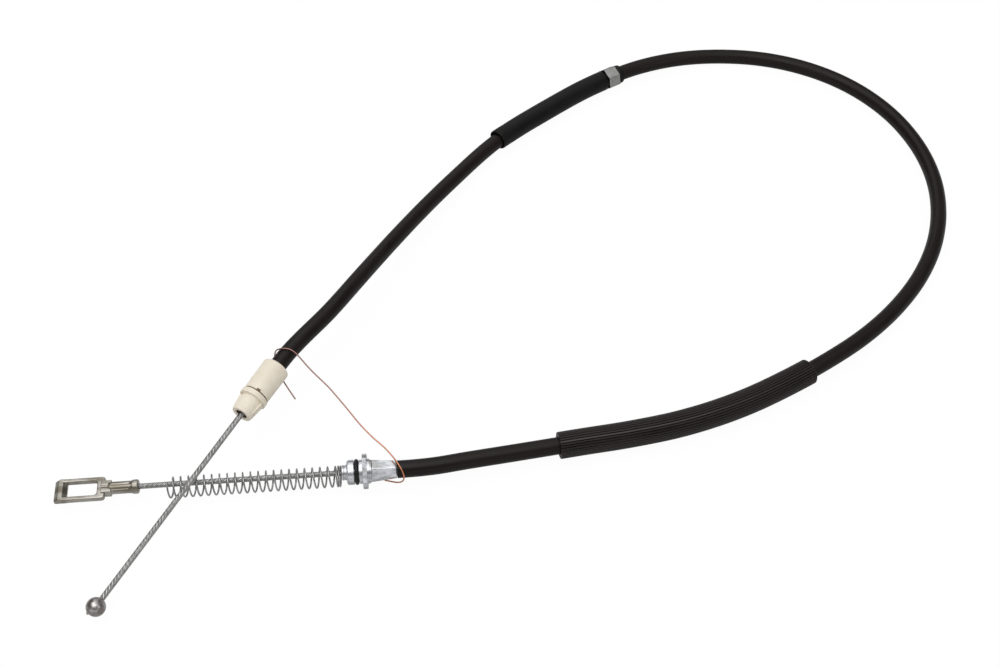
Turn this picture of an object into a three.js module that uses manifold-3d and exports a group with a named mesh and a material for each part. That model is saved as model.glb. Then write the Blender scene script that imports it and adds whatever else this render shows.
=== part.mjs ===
// A parking brake cable, lying on a level surface: a wire rope that slides in a black sheathed
// casing. One end has a flat eye, a return spring and a flanged metal fitting, and the other
// end has a ball and a cream plastic bush. Millimetres, Z up.
import * as THREE from 'three';
import { mergeVertices } from 'three/addons/utils/BufferGeometryUtils.js';
import Module from 'manifold-3d';

const wasm = await Module();
wasm.setup();

// Clearances
const fitGap = 0.3;
const slideGap = 0.35;

// Rope and the three layers of the casing, from the inside outwards
const ropeDiameter = 3.8;
const linerWall = 0.6;
const armourWall = 1.25;
const sheathWall = 1.3;
const ropeRadius = ropeDiameter / 2;
const linerInner = ropeRadius + slideGap;
const linerOuter = linerInner + linerWall;
const armourInner = linerOuter + fitGap;
const armourOuter = armourInner + armourWall;
const sheathInner = armourOuter + fitGap;
const sheathOuter = sheathInner + sheathWall;

// Sockets that take the layers of the casing in both end fittings
const linerSocket = linerOuter + fitGap;
const armourSocket = armourOuter + fitGap;
const sheathSocket = sheathOuter + fitGap;

// How far the rope slides: the eye goes out by the first and in by the second
const eyeOutTravel = 20;
const eyeInTravel = 15;
const ropeOverlap = 3;

// Metal fitting, measured along its axis from the face that the spring pushes on
const spigotLength = 3.3;
const spigotRadius = 5.2;
const frontCollarLength = 4.7;
const collarRadius = 8.4;
const collarChamfer = 0.5;
const grooveWidth = 3.7;
const innerCollarLength = 2.2;
const innerCollarRadius = 8.1;
const flangeThickness = 3.1;
const flangeRadius = 11.85;
const flangeFlat = 8.5;
const flangeTurn = 35;
const rearCollarLength = 1.6;
const shoulderLength = 1.5;
const crimpLength = 16.6;
const crimpFrontRadius = 7.8;
const crimpRearRadius = 6.3;
const crimpTurn = 25;
const mouthRadius = 2.6;
const mouthDepth = 4;
const armourInset = 21.7;
const ringSection = 3;

// Places along the metal fitting
const grooveStart = spigotLength + frontCollarLength;
const grooveEnd = grooveStart + grooveWidth;
const flangeStart = grooveEnd + innerCollarLength;
const flangeEnd = flangeStart + flangeThickness;
const rearCollarEnd = flangeEnd + rearCollarLength;
const shoulderEnd = rearCollarEnd + shoulderLength;
const fittingLength = shoulderEnd + crimpLength;
const ringRadius = collarRadius + 0.35 - ringSection / 2;
const grooveRadius = ringRadius - ringSection / 2 - fitGap;

// Line of the eye: where the spring's face lies, and the line's height and turn
const eyeLineX = -130.4;
const eyeLineY = -168.5;
const eyeLineTurn = 4.6;
const eyeLineHeight = flangeRadius;

// Flat eye and its shank, out from the spring
const eyeDistance = 135;
const eyeCollarLength = 5.2;
const eyeCollarRadius = 4.8;
const eyeShankLength = 12.6;
const eyeShankRadius = 4.2;
const eyeLugLength = 4.4;
const eyeLugWidth = 9.4;
const eyeLugHeight = 6.4;
const eyeLugNotch = 1.2;
const eyeNearBar = 5.2;
const eyeFarBar = 8.3;
const eyeSideBar = 2.75;
const eyeThickness = 4.2;
const windowLength = 19.9;
const windowWidth = 11.5;
const eyeCorner = 2.2;
const windowCorner = 1.4;
const eyeBevel = 0.8;
const ropeInEye = 12;

// Return spring, hung on the rope
const springLength = 116.5;
const springWire = 1.2;
const springRadius = 6.8;
const springClosedTurns = 2;
const springClosedPitch = 1.5;
const springOpenTurns = 21;
const springLastPitch = 4;
const springSteps = 8;

// Line of the ball: where the bush's nose lies, and the line's turn and rise
const noseX = -200.6;
const noseY = -129.5;
const noseHeight = 25.2;
const ballLineTurn = 60.5;
const ballLineRise = 6;

// Plastic bush, measured along its axis from the nose
const noseLength = 13.1;
const noseTipRadius = 6.9;
const noseFrontRadius = 7.4;
const noseRootRadius = 7.8;
const noseChamfer = 0.8;
const noseBore = 4.8;
const noseBoreDepth = 12;
const bushRingLength = 3.8;
const bushRingRadius = 9.95;
const bushGrooveLength = 0.7;
const bushGrooveRadius = 9.1;
const bushLength = 43.5;
const bushFrontRadius = 9.45;
const bushRearRadius = 9.8;
const bushRounding = 1.9;
const wingStart = 2.6;
const wingEnd = 11.6;
const wingWidth = 4.6;
const wingRadius = 8.9;
const slotLength = 1.3;
const slotWidth = 3.2;
const slotDepth = 1.4;
const slotTurn = 40;
const armourInBush = 13.5;
const sheathInBush = 9.7;
const bushRingEnd = noseLength + bushRingLength;
const bushBodyStart = bushRingEnd + bushGrooveLength;

// Ball, from the bush's nose to its middle
const ballDistance = 160.6;
const ballDiameter = 12.5;
const ropeNub = 0.9;

// Sleeves and band on the casing, from the metal fitting's end along the casing
const guardStart = 111.3;
const guardLength = 192;
const guardRadius = 9.35;
const guardRibs = 24;
const guardRibDepth = 0.75;
const guardGap = 0.45;
const sleeveStart = 878.3;
const sleeveLength = 135.4;
const sleeveRadius = 8.2;
const sleeveLip = 0.5;
const sleeveGap = 0.45;
const bandFromEnd = 10;
const bandWidth = 10.4;
const bandWall = 0.6;
const bandSides = 6;
const bandTurn = 20;
const neckRadius = 7.15;
const rimRadius = 7.6;
const rimTipRadius = 6.9;
const rimTaper = 1.2;
const neckMargin = 0.8;
const neckTaper = 1.4;

// Copper wire that ties the two ends together
const wireDiameter = 1;

// Route of the casing between the two fittings: place in plan, and the height of its underside
const casingRoute = [
  [-70, -162.5, 5.2],
  [-46, -157.3, 4.7],
  [-20, -151.8, 4.1],
  [6, -146.3, 3.6],
  [31, -141.2, 3.5],
  [64, -134.8, 3.5],
  [101, -125.4, 3.5],
  [143, -108.9, 3.5],
  [181, -88, 3.5],
  [211, -68.2, 3.1],
  [239, -46, 1.7],
  [269, -15.4, 0.4],
  [291.5, 15.5, 0.1],
  [307.2, 47, 0.1],
  [316.5, 79, 0.1],
  [319.9, 114, 0.1],
  [313.2, 159, 0.1],
  [294.8, 199.8, 0.1],
  [264.5, 234, 0.1],
  [231.5, 254.4, 0.1],
  [198, 265.1, 0.1],
  [164, 268.2, 0.2],
  [129.4, 264.3, 1],
  [94.5, 252, 2.5],
  [51.6, 226.6, 3.1],
  [14, 197.4, 2.6],
  [-23.2, 164, 2.5],
  [-63.4, 111.1, 4.1],
  [-85.2, 75.7, 7.9],
  [-106, 37.2, 13.6],
  [-125.8, -2, 19.8],
  [-145.2, -39.4, 24.5],
];
const casingSteps = 40;

// Route of the copper wire, from its free tail under the bush to its end under the fitting
const wireRoute = [
  [-167.2, -105.6, 11],
  [-170.5, -101.6, 13.5],
  [-174.2, -97, 16.4],
  [-177.4, -92.2, 18.2],
  [-180.2, -86.6, 20.2],
  [-182.2, -81.8, 24.4],
  [-182, -79.8, 28.8],
  [-181, -79.8, 32.4],
  [-178.9, -81.2, 36],
  [-175.1, -81.8, 37.8],
  [-171.2, -82.4, 38],
  [-167.1, -84.8, 37.7],
  [-163.2, -89, 37.2],
  [-159.5, -93.4, 36.4],
  [-154.7, -98.4, 34.6],
  [-148.8, -104, 32.8],
  [-142.6, -109.8, 31],
  [-136, -117.2, 29],
  [-129.5, -124.9, 27.2],
  [-118.3, -138.7, 24.4],
  [-109.4, -147.8, 22.4],
  [-102.7, -153.6, 21],
  [-96.6, -160.4, 19.7],
  [-92.2, -167, 19.4],
  [-89.7, -170.8, 17.6],
  [-88.6, -172.8, 14.4],
  [-89.1, -173.3, 10.6],
  [-91.2, -172.5, 6.9],
  [-94.6, -170.8, 4.2],
  [-98.8, -169, 2.8],
  [-102.4, -167.8, 2.3],
];
const wireSteps = 56;

// The whole is moved by this, which puts the origin under the middle of it
const originShiftX = -2.2;
const originShiftY = 0.8;

const upward = new THREE.Vector3(0, 0, 1);

// A path through fixed stations, which keeps each station where it is. With a reference
// direction, every section keeps the same side towards it.
class StationPath extends THREE.Curve {
  constructor(stations, reference = null) {
    super();
    this.stations = stations;
    this.reference = reference;
  }

  getPointAt(u, target = new THREE.Vector3()) {
    return target.copy(this.stations[Math.round(u * (this.stations.length - 1))]);
  }

  getTangentAt(u, target = new THREE.Vector3()) {
    const last = this.stations.length - 1;
    const i = Math.round(u * last);
    const before = this.stations[Math.max(i - 1, 0)];
    const here = this.stations[i];
    const after = this.stations[Math.min(i + 1, last)];
    const arriving = here.clone().sub(before).normalize();
    const leaving = after.clone().sub(here).normalize();
    return target.copy(arriving.add(leaving).normalize());
  }

  computeFrenetFrames(segments, closed) {
    if (!this.reference) return super.computeFrenetFrames(segments, closed);
    const tangents = [];
    const normals = [];
    const binormals = [];
    for (let i = 0; i <= segments; i++) {
      const tangent = this.getTangentAt(i / segments);
      const normal = this.reference.clone().cross(tangent).normalize();
      tangents.push(tangent);
      normals.push(normal);
      binormals.push(tangent.clone().cross(normal));
    }
    return { tangents, normals, binormals };
  }
}

// Solids: closed meshes with their faces outwards, and their joining and cutting

function signedVolume(positions, corners) {
  const a = new THREE.Vector3();
  const b = new THREE.Vector3();
  const c = new THREE.Vector3();
  let sum = 0;
  for (let i = 0; i < corners.length; i += 3) {
    a.fromBufferAttribute(positions, corners[i]);
    b.fromBufferAttribute(positions, corners[i + 1]);
    c.fromBufferAttribute(positions, corners[i + 2]);
    sum += a.dot(b.cross(c));
  }
  return sum / 6;
}

function closed(geometry) {
  geometry.deleteAttribute('normal');
  geometry.deleteAttribute('uv');
  const merged = mergeVertices(geometry, 1e-3);
  const source = merged.index.array;
  const corners = [];
  for (let i = 0; i < source.length; i += 3) {
    const [a, b, c] = [source[i], source[i + 1], source[i + 2]];
    if (a !== b && b !== c && c !== a) corners.push(a, b, c);
  }
  if (signedVolume(merged.attributes.position, corners) < 0) corners.reverse();
  merged.setIndex(corners);
  return merged;
}

function solid(geometry) {
  const shell = closed(geometry);
  const vertProperties = new Float32Array(shell.attributes.position.array);
  const triVerts = new Uint32Array(shell.index.array);
  return new wasm.Manifold(new wasm.Mesh({ numProp: 3, vertProperties, triVerts }));
}

function geometryOf(manifold) {
  const mesh = manifold.getMesh();
  const geometry = new THREE.BufferGeometry();
  geometry.setAttribute('position', new THREE.BufferAttribute(new Float32Array(mesh.vertProperties), 3));
  geometry.setIndex(new THREE.BufferAttribute(new Uint32Array(mesh.triVerts), 1));
  return geometry;
}

// A shape turned about the X axis, from its [x, radius] corners. An outline that doesn't
// start on the axis is closed on itself.
function turned(corners, sides) {
  const outline = corners.map(([x, radius]) => new THREE.Vector2(radius, x));
  if (corners[0][1] > 0) outline.push(outline[0].clone());
  const geometry = new THREE.LatheGeometry(outline, sides);
  geometry.rotateZ(-Math.PI / 2);
  return geometry;
}

function rod(start, end, radius, sides) {
  return turned([[start, 0], [start, radius], [end, radius], [end, 0]], sides);
}

function box(start, end, width, height) {
  const geometry = new THREE.BoxGeometry(end - start, width, height);
  geometry.translate((start + end) / 2, 0, 0);
  return geometry;
}

function polygon(radius, sides) {
  const corners = [];
  for (let i = 0; i < sides; i++) {
    const angle = ((i + 0.5) / sides) * 2 * Math.PI;
    corners.push(new THREE.Vector2(radius * Math.cos(angle), radius * Math.sin(angle)));
  }
  return corners;
}

function swept(outline, hole, path) {
  const section = new THREE.Shape(outline);
  if (hole) section.holes.push(new THREE.Path(hole));
  const steps = path.stations.length - 1;
  return closed(new THREE.ExtrudeGeometry(section, { steps, extrudePath: path }));
}

function finish(color, roughness, metalness) {
  return new THREE.MeshStandardMaterial({ color, roughness, metalness });
}

function part(name, geometry, material) {
  const mesh = new THREE.Mesh(closed(geometry), material);
  mesh.name = name;
  return mesh;
}

// The two straight lines that the ends lie on, with X along each line towards the casing

function lineGroup(x, y, height, turn, rise) {
  const group = new THREE.Group();
  group.position.set(x, y, height);
  group.rotation.set(0, -THREE.MathUtils.degToRad(rise), THREE.MathUtils.degToRad(turn), 'ZYX');
  group.updateMatrix();
  return group;
}

const eyeLine = lineGroup(eyeLineX, eyeLineY, eyeLineHeight, eyeLineTurn, 0);
const ballLine = lineGroup(noseX, noseY, noseHeight, ballLineTurn, ballLineRise);

function onLine(line, distance) {
  return new THREE.Vector3(distance, 0, 0).applyMatrix4(line.matrix);
}

// The casing's middle line, as stations that all its layers share

const sheathStart = fittingLength + fitGap;
const sheathEnd = bushLength - sheathInBush;
const leadIn = 8;
const routeCurve = new THREE.CatmullRomCurve3([
  onLine(eyeLine, sheathStart + leadIn),
  ...casingRoute.map(([x, y, lift]) => new THREE.Vector3(x, y, sheathOuter + lift)),
  onLine(ballLine, bushLength + leadIn),
]);
const casingStations = [
  onLine(eyeLine, sheathStart),
  ...routeCurve.getSpacedPoints(casingSteps - 2),
  onLine(ballLine, sheathEnd),
];
const stationDistances = [0];
for (let i = 1; i <= casingSteps; i++) {
  stationDistances.push(stationDistances[i - 1] + casingStations[i].distanceTo(casingStations[i - 1]));
}
const casingLength = stationDistances[casingSteps];
const casingFrames = new StationPath(casingStations, upward).computeFrenetFrames(casingSteps, false);

// Past its ends the middle line goes on along the lines of the two fittings
function casingPoint(distance) {
  if (distance <= 0) return onLine(eyeLine, sheathStart + distance);
  if (distance >= casingLength) return onLine(ballLine, sheathEnd - (distance - casingLength));
  const i = stationDistances.findIndex((reached) => reached > distance);
  const share = (distance - stationDistances[i - 1]) / (stationDistances[i] - stationDistances[i - 1]);
  return casingStations[i - 1].clone().lerp(casingStations[i], share);
}

function casingFrame(distance) {
  const i = THREE.MathUtils.clamp(stationDistances.findIndex((reached) => reached > distance), 1, casingSteps);
  const share = (distance - stationDistances[i - 1]) / (stationDistances[i] - stationDistances[i - 1]);
  const blend = (list) => list[i - 1].clone().lerp(list[i], share).normalize();
  return {
    point: casingPoint(distance),
    tangent: blend(casingFrames.tangents),
    normal: blend(casingFrames.normals),
    binormal: blend(casingFrames.binormals),
  };
}

function casingStretch(from, to) {
  const between = casingStations.filter((_, i) => stationDistances[i] > from + 1 && stationDistances[i] < to - 1);
  return new StationPath([casingPoint(from), ...between, casingPoint(to)], upward);
}

// Lays a straight shape along the casing: its X becomes the distance along the middle line
function bent(geometry, start) {
  const shell = closed(geometry);
  const positions = shell.attributes.position;
  for (let i = 0; i < positions.count; i++) {
    const frame = casingFrame(start + positions.getX(i));
    frame.point.addScaledVector(frame.normal, positions.getY(i));
    frame.point.addScaledVector(frame.binormal, positions.getZ(i));
    positions.setXYZ(i, frame.point.x, frame.point.y, frame.point.z);
  }
  return shell;
}

// Casing layers and the rope inside them

function casingSheath() {
  const geometry = swept(polygon(sheathOuter, 12), polygon(sheathInner, 8), casingStretch(0, casingLength));
  return part('casing_sheath', geometry, finish(0x2a2626, 0.45, 0));
}

function conduitArmour() {
  const path = casingStretch(-armourInset, casingLength + armourInBush);
  const geometry = swept(polygon(armourOuter, 8), polygon(armourInner, 8), path);
  return part('conduit_armour', geometry, finish(0x8d9094, 0.4, 1));
}

function conduitLiner() {
  const inFitting = sheathStart - mouthDepth - fitGap;
  const inBush = sheathEnd - noseBoreDepth - fitGap;
  const path = casingStretch(-inFitting, casingLength + inBush);
  const geometry = swept(polygon(linerOuter, 8), polygon(linerInner, 8), path);
  return part('conduit_liner', geometry, finish(0xd8d2c0, 0.5, 0));
}

// Inner ends of the two straight lengths of rope, which leave room for each other's travel
const eyeRopeInside = eyeOutTravel + ropeOverlap;
const ballRopeInside = eyeInTravel + ropeOverlap;
const middleRopeFromMouth = eyeRopeInside + eyeInTravel + fitGap;
const middleRopeFromNose = ballRopeInside + eyeOutTravel + fitGap;

function ropeMiddle() {
  const from = middleRopeFromMouth - sheathStart;
  const to = casingLength - (middleRopeFromNose - sheathEnd);
  const geometry = swept(polygon(ropeRadius, 8), null, casingStretch(from, to));
  return part('inner_rope_middle', geometry, finish(0x9a9c9e, 0.4, 1));
}

function ropeEyeSide() {
  const start = -(eyeDistance + ropeInEye);
  return part('inner_rope_eye_side', rod(start, eyeRopeInside, ropeRadius, 8), finish(0x9a9c9e, 0.4, 1));
}

function ropeBallSide() {
  const start = -(ballDistance + ballDiameter / 2 + ropeNub);
  return part('inner_rope_ball_side', rod(start, ballRopeInside, ropeRadius, 8), finish(0x9a9c9e, 0.4, 1));
}

// Flat eye with its crimped shank

function roundedRectangle(left, right, halfWidth, corner) {
  const outline = new THREE.Shape();
  outline.absarc(right - corner, -halfWidth + corner, corner, -Math.PI / 2, 0);
  outline.absarc(right - corner, halfWidth - corner, corner, 0, Math.PI / 2);
  outline.absarc(left + corner, halfWidth - corner, corner, Math.PI / 2, Math.PI);
  outline.absarc(left + corner, -halfWidth + corner, corner, Math.PI, 1.5 * Math.PI);
  return outline;
}

function leverEye() {
  const collarEnd = -eyeDistance;
  const shankEnd = collarEnd - eyeCollarLength;
  const lugEnd = shankEnd - eyeShankLength;
  const nearEnd = lugEnd - eyeLugLength;
  const windowRight = nearEnd - eyeNearBar;
  const windowLeft = windowRight - windowLength;
  const farEnd = windowLeft - eyeFarBar;
  const outline = roundedRectangle(farEnd, nearEnd, windowWidth / 2 + eyeSideBar, eyeCorner);
  outline.holes.push(roundedRectangle(windowLeft, windowRight, windowWidth / 2, windowCorner));
  const frame = new THREE.ExtrudeGeometry(outline, {
    depth: eyeThickness - 2 * eyeBevel,
    curveSegments: 3,
    bevelThickness: eyeBevel,
    bevelSize: eyeBevel,
    bevelOffset: -eyeBevel,
    bevelSegments: 2,
  });
  frame.translate(0, 0, eyeBevel - eyeThickness / 2);
  const lug = box(nearEnd - eyeNearBar / 2, lugEnd, eyeLugWidth, eyeLugHeight);
  const notchAbove = box(nearEnd, lugEnd, eyeLugNotch, eyeLugNotch);
  notchAbove.translate(0, 0, eyeLugHeight / 2);
  const notchBelow = notchAbove.clone().translate(0, 0, -eyeLugHeight);
  const shank = turned([
    [lugEnd - eyeLugLength / 2, 0],
    [lugEnd - eyeLugLength / 2, eyeShankRadius],
    [shankEnd, eyeShankRadius - 0.2],
    [shankEnd + eyeCollarLength / 3, eyeCollarRadius],
    [collarEnd - 0.6, eyeCollarRadius],
    [collarEnd, eyeCollarRadius - 0.6],
    [collarEnd, 0],
  ], 10);
  const bore = rod(collarEnd - ropeInEye - fitGap, collarEnd + 1, ropeRadius + fitGap, 10);
  const whole = solid(frame).add(solid(lug)).subtract(solid(notchAbove)).subtract(solid(notchBelow))
    .add(solid(shank)).subtract(solid(bore));
  return part('lever_eye', geometryOf(whole), finish(0x8c8880, 0.45, 1));
}

// Ball with the rope's end through it

function ballEnd() {
  const middle = -ballDistance;
  const sphere = new THREE.SphereGeometry(ballDiameter / 2, 20, 14);
  sphere.translate(middle, 0, 0);
  const bore = rod(middle - ballDiameter, middle + ballDiameter, ropeRadius + fitGap, 10);
  return part('ball_end', geometryOf(solid(sphere).subtract(solid(bore))), finish(0x8a8b8c, 0.35, 1));
}

// Flanged metal fitting, one casting with its hexagonal crimp

function backplateFitting() {
  const body = turned([
    [0, 0],
    [0, spigotRadius - collarChamfer],
    [collarChamfer, spigotRadius],
    [spigotLength, spigotRadius],
    [spigotLength, collarRadius - collarChamfer],
    [spigotLength + collarChamfer, collarRadius],
    [grooveStart, collarRadius],
    [grooveStart, grooveRadius],
    [grooveEnd, grooveRadius],
    [grooveEnd, innerCollarRadius],
    [(flangeStart + flangeEnd) / 2, innerCollarRadius],
    [(flangeStart + flangeEnd) / 2, collarRadius],
    [rearCollarEnd, collarRadius],
    [rearCollarEnd, crimpFrontRadius],
    [shoulderEnd, crimpFrontRadius - collarChamfer],
    [shoulderEnd, 0],
  ], 24);
  const disc = rod(flangeStart, flangeEnd, flangeRadius, 32);
  const flats = box(flangeStart - 1, flangeEnd + 1, 2 * flangeFlat, 4 * flangeRadius);
  flats.rotateX(THREE.MathUtils.degToRad(flangeTurn - 90));
  const flange = solid(disc).intersect(solid(flats));
  const crimp = turned([
    [shoulderEnd - shoulderLength / 2, 0],
    [shoulderEnd - shoulderLength / 2, crimpFrontRadius],
    [fittingLength - collarChamfer, crimpRearRadius],
    [fittingLength, crimpRearRadius - collarChamfer],
    [fittingLength, 0],
  ], 6);
  crimp.rotateX(THREE.MathUtils.degToRad(crimpTurn));
  const bores = turned([
    [-1, 0],
    [-1, mouthRadius],
    [mouthDepth, mouthRadius],
    [mouthDepth, linerSocket],
    [sheathStart - armourInset - fitGap, linerSocket],
    [sheathStart - armourInset - fitGap, armourSocket],
    [fittingLength + 1, armourSocket],
    [fittingLength + 1, 0],
  ], 16);
  const whole = solid(body).add(flange).add(solid(crimp)).subtract(solid(bores));
  return part('backplate_fitting', geometryOf(whole), finish(0xc9ccd1, 0.3, 1));
}

function sealRing() {
  const ring = new THREE.TorusGeometry(ringRadius, ringSection / 2, 8, 24);
  ring.rotateY(Math.PI / 2);
  ring.translate((grooveStart + grooveEnd) / 2, 0, 0);
  return part('o_ring', ring, finish(0x17181a, 0.6, 0));
}

// Return spring: two closed turns by the fitting, open turns, and a last turn that is less
// open. It hangs with its top on the rope.

function returnSpring() {
  const closedLength = springClosedTurns * springClosedPitch;
  const pitch = (springLength - springWire - closedLength - springLastPitch) / springOpenTurns;
  const turns = springClosedTurns + springOpenTurns + 1;
  const along = (turn) => {
    const opened = THREE.MathUtils.clamp(turn - springClosedTurns, 0, springOpenTurns);
    const last = Math.max(turn - springClosedTurns - springOpenTurns, 0);
    return Math.min(turn, springClosedTurns) * springClosedPitch + opened * pitch + last * springLastPitch;
  };
  const innermost = springRadius * Math.cos(Math.PI / springSteps) - springWire / 2;
  const hang = innermost - ropeRadius - fitGap;
  const steps = Math.round(turns * springSteps);
  const stations = [];
  for (let i = 0; i <= steps; i++) {
    const turn = (i / steps) * turns;
    const angle = turn * 2 * Math.PI;
    const x = -fitGap - springWire / 2 - along(turn);
    stations.push(new THREE.Vector3(x, springRadius * Math.sin(angle), springRadius * Math.cos(angle) - hang));
  }
  const path = new StationPath(stations, new THREE.Vector3(1, 0, 0));
  return part('return_spring', swept(polygon(springWire / 2, 6), null, path), finish(0xb4b6ba, 0.35, 1));
}

// Plastic bush with its two snap wings

function bracketBush() {
  const body = turned([
    [0, 0],
    [0, noseTipRadius],
    [noseChamfer, noseFrontRadius],
    [noseLength, noseRootRadius],
    [noseLength, bushRingRadius],
    [bushRingEnd, bushRingRadius],
    [bushRingEnd, bushGrooveRadius],
    [bushBodyStart, bushGrooveRadius],
    [bushBodyStart, bushFrontRadius],
    [bushLength - bushRounding, bushRearRadius],
    [bushLength - bushRounding * 0.3, bushRearRadius - bushRounding * 0.35],
    [bushLength, bushRearRadius - bushRounding],
    [bushLength, 0],
  ], 32);
  const wingOutline = new THREE.Shape([
    new THREE.Vector2(wingStart, -noseFrontRadius),
    new THREE.Vector2(wingEnd, -wingRadius),
    new THREE.Vector2(wingEnd, wingRadius),
    new THREE.Vector2(wingStart, noseFrontRadius),
  ]);
  const wings = new THREE.ExtrudeGeometry(wingOutline, { depth: wingWidth, bevelEnabled: false });
  wings.translate(0, 0, -wingWidth / 2);
  let whole = solid(body).add(solid(wings));
  for (const turn of [-slotTurn, slotTurn]) {
    const slot = box(bushBodyStart, bushBodyStart + slotLength, slotWidth, slotDepth);
    slot.translate(0, 0, bushFrontRadius);
    slot.rotateX(THREE.MathUtils.degToRad(turn));
    whole = whole.subtract(solid(slot));
  }
  const armourFloor = sheathEnd - armourInBush - fitGap;
  const sheathFloor = sheathEnd - fitGap;
  const bores = turned([
    [-1, 0],
    [-1, noseBore],
    [noseBoreDepth, noseBore],
    [noseBoreDepth, linerSocket],
    [armourFloor, linerSocket],
    [armourFloor, armourSocket],
    [sheathFloor, armourSocket],
    [sheathFloor, sheathSocket],
    [bushLength + 1, sheathSocket],
    [bushLength + 1, 0],
  ], 20);
  return part('bracket_bush', geometryOf(whole.subtract(solid(bores))), finish(0xe6dcc8, 0.45, 0));
}

// Sleeves and band on the casing

function ribbedGuard() {
  const outline = [];
  for (let i = 0; i < 2 * guardRibs; i++) {
    const angle = (i / guardRibs) * Math.PI;
    const radius = i % 2 ? guardRadius - guardRibDepth : guardRadius;
    outline.push(new THREE.Vector2(radius * Math.cos(angle), radius * Math.sin(angle)));
  }
  const path = casingStretch(guardStart, guardStart + guardLength);
  const geometry = swept(outline, polygon(sheathOuter + guardGap, 16), path);
  return part('ribbed_guard', geometry, finish(0x2b2828, 0.6, 0));
}

function smoothSleeve() {
  const neckStart = bandFromEnd - bandWidth / 2 - neckMargin;
  const neckEnd = bandFromEnd + bandWidth / 2 + neckMargin;
  const bore = sheathOuter + sleeveGap;
  const spans = 7;
  const outer = [[0, rimTipRadius], [rimTaper, rimRadius], [neckStart - neckTaper, rimRadius]];
  outer.push([neckStart, neckRadius], [neckEnd, neckRadius], [neckEnd + neckTaper, sleeveRadius]);
  for (let i = 1; i < spans; i++) {
    outer.push([neckEnd + (i / spans) * (sleeveLength - neckEnd), sleeveRadius]);
  }
  outer.push([sleeveLength - sleeveLip, sleeveRadius], [sleeveLength, sleeveRadius - sleeveLip]);
  const inner = [];
  for (let i = spans; i >= 0; i--) inner.push([(i / spans) * sleeveLength, bore]);
  const geometry = turned([...outer, ...inner], 16);
  return part('smooth_sleeve', bent(geometry, sleeveStart), finish(0x1e1d1e, 0.6, 0));
}

function bandClamp() {
  const inner = (neckRadius + fitGap) / Math.cos(Math.PI / bandSides);
  const outer = inner + bandWall;
  const half = bandWidth / 2;
  const ring = turned([[-half, inner], [-half, outer], [half, outer], [half, inner]], bandSides);
  ring.rotateX(THREE.MathUtils.degToRad(bandTurn));
  const mesh = part('band_clamp', ring, finish(0x93938f, 0.5, 1));
  const frame = casingFrame(sleeveStart + bandFromEnd);
  mesh.position.copy(frame.point);
  const basis = new THREE.Matrix4().makeBasis(frame.tangent, frame.normal, frame.binormal);
  mesh.quaternion.setFromRotationMatrix(basis);
  return mesh;
}

function tieWire() {
  const curve = new THREE.CatmullRomCurve3(wireRoute.map(([x, y, z]) => new THREE.Vector3(x, y, z)));
  const path = new StationPath(curve.getSpacedPoints(wireSteps));
  return part('tie_wire', swept(polygon(wireDiameter / 2, 8), null, path), finish(0xc8794f, 0.35, 1));
}

eyeLine.add(leverEye(), ropeEyeSide(), returnSpring(), backplateFitting(), sealRing());
ballLine.add(ballEnd(), ropeBallSide(), bracketBush());
const cable = new THREE.Group();
cable.position.set(originShiftX, originShiftY, 0);
cable.add(eyeLine, ballLine, casingSheath(), conduitArmour(), conduitLiner(), ropeMiddle());
cable.add(ribbedGuard(), smoothSleeve(), bandClamp(), tieWire());

export default cable;
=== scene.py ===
import math
from bisect import bisect_right

import bmesh
import bpy
from mathutils import Matrix, Vector
from mathutils.geometry import interpolate_bezier


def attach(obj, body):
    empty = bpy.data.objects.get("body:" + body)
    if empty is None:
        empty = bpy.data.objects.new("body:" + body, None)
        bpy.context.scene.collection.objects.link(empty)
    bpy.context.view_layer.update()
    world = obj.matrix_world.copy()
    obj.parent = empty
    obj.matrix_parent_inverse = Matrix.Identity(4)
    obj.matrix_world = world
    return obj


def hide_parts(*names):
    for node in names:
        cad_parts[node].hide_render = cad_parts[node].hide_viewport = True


# Parking brake cable. Shapes are built in millimetres on one of the cable's two straight end
# lines, or straight and then bent along the casing, and go to metres when a piece is finished.

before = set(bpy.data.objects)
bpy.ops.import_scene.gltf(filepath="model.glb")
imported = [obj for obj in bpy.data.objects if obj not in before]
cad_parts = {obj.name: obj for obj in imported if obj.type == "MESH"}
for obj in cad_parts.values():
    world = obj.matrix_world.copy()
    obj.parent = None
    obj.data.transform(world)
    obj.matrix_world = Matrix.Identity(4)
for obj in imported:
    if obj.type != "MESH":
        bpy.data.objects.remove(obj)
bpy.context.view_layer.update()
millimetre = 0.001
sharpAngle = math.radians(40)
print("cable: frame loaded")

cameraSetup = {"place": (-26.7, -754.67, 856.84), "tilt": 40.0, "lens": 55.0}


def setCamera():
    data = bpy.data.cameras.new("camera")
    data.lens = cameraSetup["lens"]
    data.sensor_width = 36
    data.clip_start = 0.02
    camera = bpy.data.objects.new("camera", data)
    camera.location = Vector(cameraSetup["place"]) * millimetre
    camera.rotation_euler = (math.radians(cameraSetup["tilt"]), 0, 0)
    bpy.context.scene.collection.objects.link(camera)
    bpy.context.scene.camera = camera


setCamera()

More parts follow.
